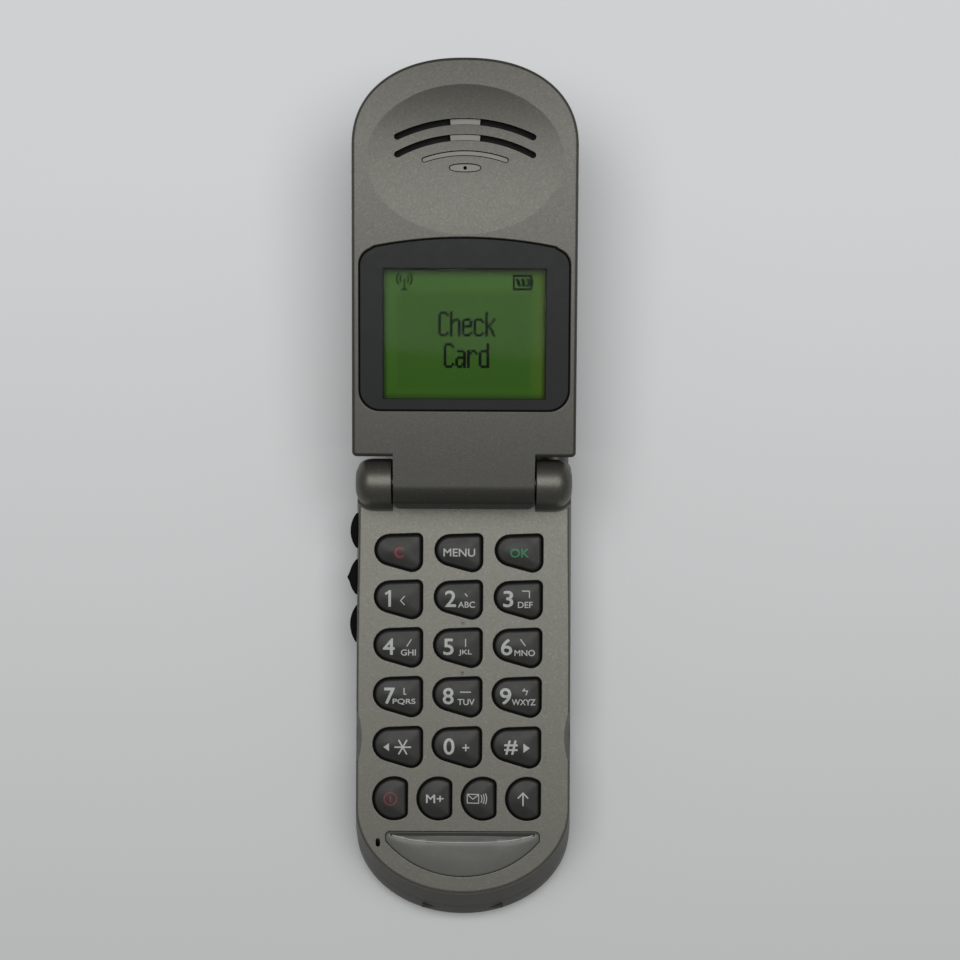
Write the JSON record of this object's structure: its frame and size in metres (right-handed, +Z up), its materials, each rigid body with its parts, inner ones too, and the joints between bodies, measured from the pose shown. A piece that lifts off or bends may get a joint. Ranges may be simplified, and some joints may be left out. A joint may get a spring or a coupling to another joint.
{
  "type": "flip phone",
  "caption": "Small folding mobile phone, open on its back: body with sprung keys, hinged lid with display and earpiece, sliding battery cover, pull-out antenna and headset socket.",
  "frame": {"origin": "on the flat back that the phone lies on, on the centre line, straight under the hinge axis", "axes": "+X across the phone to the right as seen when the keypad is read, +Y from the hinge towards the tip of the open lid, +Z up from the back"},
  "size_m": [0.0438, 0.1641, 0.0309],
  "materials": {
    "body_paint": "warm grey metallic paint on moulded plastic, fine flake, satin",
    "lid_paint": "slightly darker warm grey metallic paint, fine flake, satin",
    "key_plastic": "charcoal keys with a soft satin face and pale printed legends",
    "button_rubber": "near-black rubbery side buttons",
    "badge_plastic": "bare glossy grey inlay",
    "silicone": "translucent silicone",
    "clear_film": "clear moulded film",
    "board_laminate": "green circuit board",
    "tinned_steel": "tinned sheet metal",
    "hinge_steel": "ground steel",
    "screw_steel": "blackened steel screws",
    "tungsten_grey": "sintered heavy metal",
    "gold_contacts": "gold-plated contacts",
    "battery_case": "dark battery case, bare",
    "black_plastic": "black moulded plastic",
    "lens_plastic": "printed charcoal display lens with a clear window, semi-gloss",
    "display_glass": "green reflective liquid crystal panel",
    "felt": "black acoustic felt",
    "copper_ribbon": "amber flexible circuit"
  },
  "bodies": {
    "body": {"front_housing": "body_paint", "rear_housing": "body_paint", "chin_badge": "badge_plastic", "keypad_membrane": "silicone", "dome_sheet": "clear_film", "main_board": "board_laminate", "rf_shields": "tinned_steel", "sim_holder": "tinned_steel", "battery_pack": "battery_case", "battery_contacts": "gold_contacts", "microphone": "tinned_steel", "ringer": "black_plastic", "vibra_motor": "tinned_steel", "antenna_sleeve": "body_paint", "headset_jack": "black_plastic", "system_connector": "black_plastic", "housing_screws": "screw_steel", "side_switches": "tinned_steel", "hinge_shaft": "hinge_steel", "hinge_pin": "hinge_steel"},
    "battery_cover": {"battery_cover": "body_paint"},
    "battery_catch": {"battery_catch": "body_paint"},
    "antenna": {"antenna_whip": "black_plastic"},
    "vibra_weight": {"vibra_weight": "tungsten_grey"},
    "lid": {"lid_face": "lid_paint", "lid_cover": "lid_paint", "display_lens": "lens_plastic", "lcd_panel": "display_glass", "backlight_guide": "clear_film", "display_board": "board_laminate", "earpiece": "black_plastic", "earpiece_mesh": "felt", "lid_screws": "screw_steel", "hinge_cartridge": "hinge_steel", "hinge_bush": "hinge_steel", "hinge_flex": "copper_ribbon"},
    "key_clear": {"key_clear": "key_plastic"},
    "key_menu": {"key_menu": "key_plastic"},
    "key_ok": {"key_ok": "key_plastic"},
    "key_1": {"key_1": "key_plastic"},
    "key_2": {"key_2": "key_plastic"},
    "key_3": {"key_3": "key_plastic"},
    "key_4": {"key_4": "key_plastic"},
    "key_5": {"key_5": "key_plastic"},
    "key_6": {"key_6": "key_plastic"},
    "key_7": {"key_7": "key_plastic"},
    "key_8": {"key_8": "key_plastic"},
    "key_9": {"key_9": "key_plastic"},
    "key_star": {"key_star": "key_plastic"},
    "key_0": {"key_0": "key_plastic"},
    "key_hash": {"key_hash": "key_plastic"},
    "key_power": {"key_power": "key_plastic"},
    "key_memory": {"key_memory": "key_plastic"},
    "key_message": {"key_message": "key_plastic"},
    "key_up": {"key_up": "key_plastic"},
    "side_button_upper": {"side_button_upper": "button_rubber"},
    "side_button_middle": {"side_button_middle": "button_rubber"},
    "side_button_lower": {"side_button_lower": "button_rubber"}
  },
  "joints": [
    {"name": "lid_hinge", "type": "hinge", "parent": "body", "child": "lid", "pos_m": [0, 0, 0.0181], "axis": [1, 0, 0], "range_deg": [0, 174]},
    {"name": "battery_cover_slide", "type": "slide", "parent": "body", "child": "battery_cover", "axis": [0, -1, 0], "range_m": [0, 0.012]},
    {"name": "battery_catch_slide", "type": "slide", "parent": "body", "child": "battery_catch", "axis": [0, 1, 0], "range_m": [0, 0.0015], "stiffness_N_per_m": 400},
    {"name": "antenna_pull", "type": "slide", "parent": "body", "child": "antenna", "axis": [0, 1, 0], "range_m": [0, 0.06]},
    {"name": "vibra_spin", "type": "hinge", "parent": "body", "child": "vibra_weight", "pos_m": [0, -0.0022, 0.0031], "axis": [1, 0, 0], "continuous": true},
    {"name": "side_button_upper_press", "type": "slide", "parent": "body", "child": "side_button_upper", "axis": [1, 0, 0], "range_m": [0, 0.0004], "stiffness_N_per_m": 1500},
    {"name": "side_button_middle_press", "type": "slide", "parent": "body", "child": "side_button_middle", "axis": [1, 0, 0], "range_m": [0, 0.0004], "stiffness_N_per_m": 1500},
    {"name": "side_button_lower_press", "type": "slide", "parent": "body", "child": "side_button_lower", "axis": [1, 0, 0], "range_m": [0, 0.0004], "stiffness_N_per_m": 1500},
    {"name": "key_clear_press", "type": "slide", "parent": "body", "child": "key_clear", "axis": [0, 0, -1], "range_m": [0, 0.0004], "stiffness_N_per_m": 1500},
    {"name": "key_menu_press", "type": "slide", "parent": "body", "child": "key_menu", "axis": [0, 0, -1], "range_m": [0, 0.0004], "stiffness_N_per_m": 1500},
    {"name": "key_ok_press", "type": "slide", "parent": "body", "child": "key_ok", "axis": [0, 0, -1], "range_m": [0, 0.0004], "stiffness_N_per_m": 1500},
    {"name": "key_1_press", "type": "slide", "parent": "body", "child": "key_1", "axis": [0, 0, -1], "range_m": [0, 0.0004], "stiffness_N_per_m": 1500},
    {"name": "key_2_press", "type": "slide", "parent": "body", "child": "key_2", "axis": [0, 0, -1], "range_m": [0, 0.0004], "stiffness_N_per_m": 1500},
    {"name": "key_3_press", "type": "slide", "parent": "body", "child": "key_3", "axis": [0, 0, -1], "range_m": [0, 0.0004], "stiffness_N_per_m": 1500},
    {"name": "key_4_press", "type": "slide", "parent": "body", "child": "key_4", "axis": [0, 0, -1], "range_m": [0, 0.0004], "stiffness_N_per_m": 1500},
    {"name": "key_5_press", "type": "slide", "parent": "body", "child": "key_5", "axis": [0, 0, -1], "range_m": [0, 0.0004], "stiffness_N_per_m": 1500},
    {"name": "key_6_press", "type": "slide", "parent": "body", "child": "key_6", "axis": [0, 0, -1], "range_m": [0, 0.0004], "stiffness_N_per_m": 1500},
    {"name": "key_7_press", "type": "slide", "parent": "body", "child": "key_7", "axis": [0, 0, -1], "range_m": [0, 0.0004], "stiffness_N_per_m": 1500},
    {"name": "key_8_press", "type": "slide", "parent": "body", "child": "key_8", "axis": [0, 0, -1], "range_m": [0, 0.0004], "stiffness_N_per_m": 1500},
    {"name": "key_9_press", "type": "slide", "parent": "body", "child": "key_9", "axis": [0, 0, -1], "range_m": [0, 0.0004], "stiffness_N_per_m": 1500},
    {"name": "key_star_press", "type": "slide", "parent": "body", "child": "key_star", "axis": [0, 0, -1], "range_m": [0, 0.0004], "stiffness_N_per_m": 1500},
    {"name": "key_0_press", "type": "slide", "parent": "body", "child": "key_0", "axis": [0, 0, -1], "range_m": [0, 0.0004], "stiffness_N_per_m": 1500},
    {"name": "key_hash_press", "type": "slide", "parent": "body", "child": "key_hash", "axis": [0, 0, -1], "range_m": [0, 0.0004], "stiffness_N_per_m": 1500},
    {"name": "key_power_press", "type": "slide", "parent": "body", "child": "key_power", "axis": [0, 0, -1], "range_m": [0, 0.0004], "stiffness_N_per_m": 1500},
    {"name": "key_memory_press", "type": "slide", "parent": "body", "child": "key_memory", "axis": [0, 0, -1], "range_m": [0, 0.0004], "stiffness_N_per_m": 1500},
    {"name": "key_message_press", "type": "slide", "parent": "body", "child": "key_message", "axis": [0, 0, -1], "range_m": [0, 0.0004], "stiffness_N_per_m": 1500},
    {"name": "key_up_press", "type": "slide", "parent": "body", "child": "key_up", "axis": [0, 0, -1], "range_m": [0, 0.0004], "stiffness_N_per_m": 1500}
  ]
}
